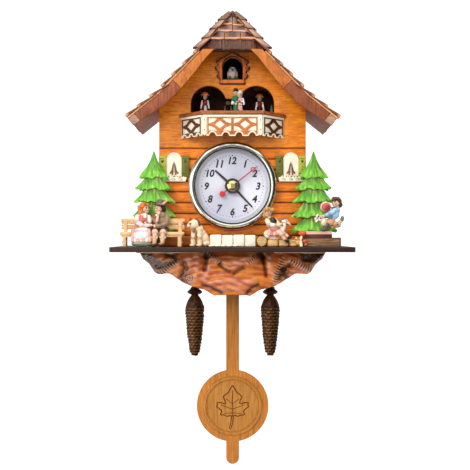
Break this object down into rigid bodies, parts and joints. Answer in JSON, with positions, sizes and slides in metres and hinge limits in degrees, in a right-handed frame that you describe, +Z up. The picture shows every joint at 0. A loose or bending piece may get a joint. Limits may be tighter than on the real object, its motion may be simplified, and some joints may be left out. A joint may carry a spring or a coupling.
{
  "type": "pendulum wall clock",
  "caption": "Chalet-shaped quartz wall clock with a balcony of turning dancers, garden figures, pine-cone weights and a disc pendulum.",
  "frame": {"origin": "on the rear face, which lies on the wall, level with the axis of the dial and in the middle of the clock", "axes": "+X to the right as seen from the front, +Y into the wall, +Z up"},
  "size_m": [0.215, 0.106, 0.4269],
  "materials": {
    "honey_wood": "varnished, mottled grain",
    "dark_board": "dark stained",
    "carved_apron": "glossy mahogany varnish",
    "roof_board": "varnished",
    "shingle": "dark stained, pale cut ends",
    "barge_wood": "varnished",
    "cream_plastic": "painted moulding",
    "painted_figure": "hand-painted resin",
    "green_fir": "painted moulding",
    "pale_timber": "plain",
    "stone": "painted moulding",
    "backdrop": "painted card",
    "pendulum_wood": "satin",
    "chrome": "polished",
    "brass": "polished",
    "bronze": "bronze-coloured, rubbed edges",
    "steel": "plain",
    "glass": "clear",
    "dial": "pale silver with printed marks",
    "black_plastic": "plain",
    "red_paint": "gloss",
    "battery_wrap": "printed wrap"
  },
  "bodies": {
    "case": {"front_panel": "honey_wood", "back_panel": "dark_board", "side_wall_left": "honey_wood", "side_wall_right": "honey_wood", "base_board": "dark_board", "corbel": "carved_apron", "roof_board_left": "roof_board", "roof_board_right": "roof_board", "shingles_left": "shingle", "shingles_right": "shingle", "hip_roof": "shingle", "bargeboard_left": "barge_wood", "bargeboard_right": "barge_wood", "bird_frame": "barge_wood", "bird_guide": "pale_timber", "stage_deck": "roof_board", "stage_backdrop": "backdrop", "turntable_motor": "steel", "balcony_front": "cream_plastic", "balcony_side_left": "cream_plastic", "balcony_side_right": "cream_plastic", "balcony_handrail": "barge_wood", "window_left": "cream_plastic", "window_right": "cream_plastic", "tree_left": "green_fir", "tree_right": "green_fir", "bench": "pale_timber", "seated_couple": "painted_figure", "dog": "painted_figure", "stone_wall": "stone", "log_row": "pale_timber", "sitting_girl": "painted_figure", "timber_stack": "barge_wood", "stepping_boy": "painted_figure", "bezel": "chrome", "lens": "glass", "dial": "dial", "movement_case": "black_plastic", "pendulum_driver": "black_plastic", "battery": "battery_wrap", "screw_eye_left": "brass", "screw_eye_right": "brass"},
    "rear_door": {"rear_door": "dark_board"},
    "bird": {"bird": "cream_plastic"},
    "turntable": {"turntable": "dark_board", "dancer_front": "painted_figure", "dancer_right": "painted_figure", "dancer_back": "painted_figure", "dancer_left": "painted_figure"},
    "hour_hand": {"hour_hand": "black_plastic"},
    "motion_wheel": {"motion_wheel": "brass"},
    "minute_hand": {"minute_hand": "black_plastic", "minute_arbor": "brass"},
    "second_hand": {"second_hand": "red_paint", "centre_cap": "brass"},
    "pendulum": {"pendulum_blade": "pendulum_wood", "bob_medallion": "pendulum_wood", "hanger_strip": "brass"},
    "weight_left": {"weight_left": "bronze"},
    "weight_right": {"weight_right": "bronze"}
  },
  "joints": [
    {"name": "rear_door_hinge", "type": "hinge", "parent": "case", "child": "rear_door", "pos_m": [-0.0276, -0.00195, -0.03], "axis": [0, 0, 1], "range_deg": [0, 100]},
    {"name": "bird_slide", "type": "slide", "parent": "case", "child": "bird", "axis": [0, -1, 0], "range_m": [0, 0.016]},
    {"name": "turntable_spin", "type": "hinge", "parent": "case", "child": "turntable", "pos_m": [0, -0.057, 0.062], "axis": [0, 0, 1], "continuous": true},
    {"name": "minute_spin", "type": "hinge", "parent": "case", "child": "minute_hand", "pos_m": [0, -0.0565, 0], "axis": [0, 1, 0], "continuous": true},
    {"name": "motion_spin", "type": "hinge", "parent": "case", "child": "motion_wheel", "pos_m": [0.00707, -0.0565, -0.00707], "axis": [0, 1, 0], "continuous": true},
    {"name": "hour_spin", "type": "hinge", "parent": "case", "child": "hour_hand", "pos_m": [0, -0.0605, 0], "axis": [0, 1, 0], "continuous": true},
    {"name": "second_spin", "type": "hinge", "parent": "case", "child": "second_hand", "pos_m": [0, -0.0725, 0], "axis": [0, 1, 0], "continuous": true},
    {"name": "pendulum_swing", "type": "hinge", "parent": "case", "child": "pendulum", "pos_m": [0, -0.03, -0.015], "axis": [0, 1, 0], "range_deg": [-7, 7]},
    {"name": "weight_left_swing", "type": "hinge", "parent": "case", "child": "weight_left", "pos_m": [-0.035, -0.064, -0.0666], "axis": [0, 1, 0], "range_deg": [-10, 10]},
    {"name": "weight_right_swing", "type": "hinge", "parent": "case", "child": "weight_right", "pos_m": [0.035, -0.064, -0.0666], "axis": [0, 1, 0], "range_deg": [-10, 10]}
  ],
  "couplings": [
    {"joint": "motion_spin", "follows": "minute_spin", "ratio": -0.33333},
    {"joint": "hour_spin", "follows": "minute_spin", "ratio": 0.083333}
  ]
}
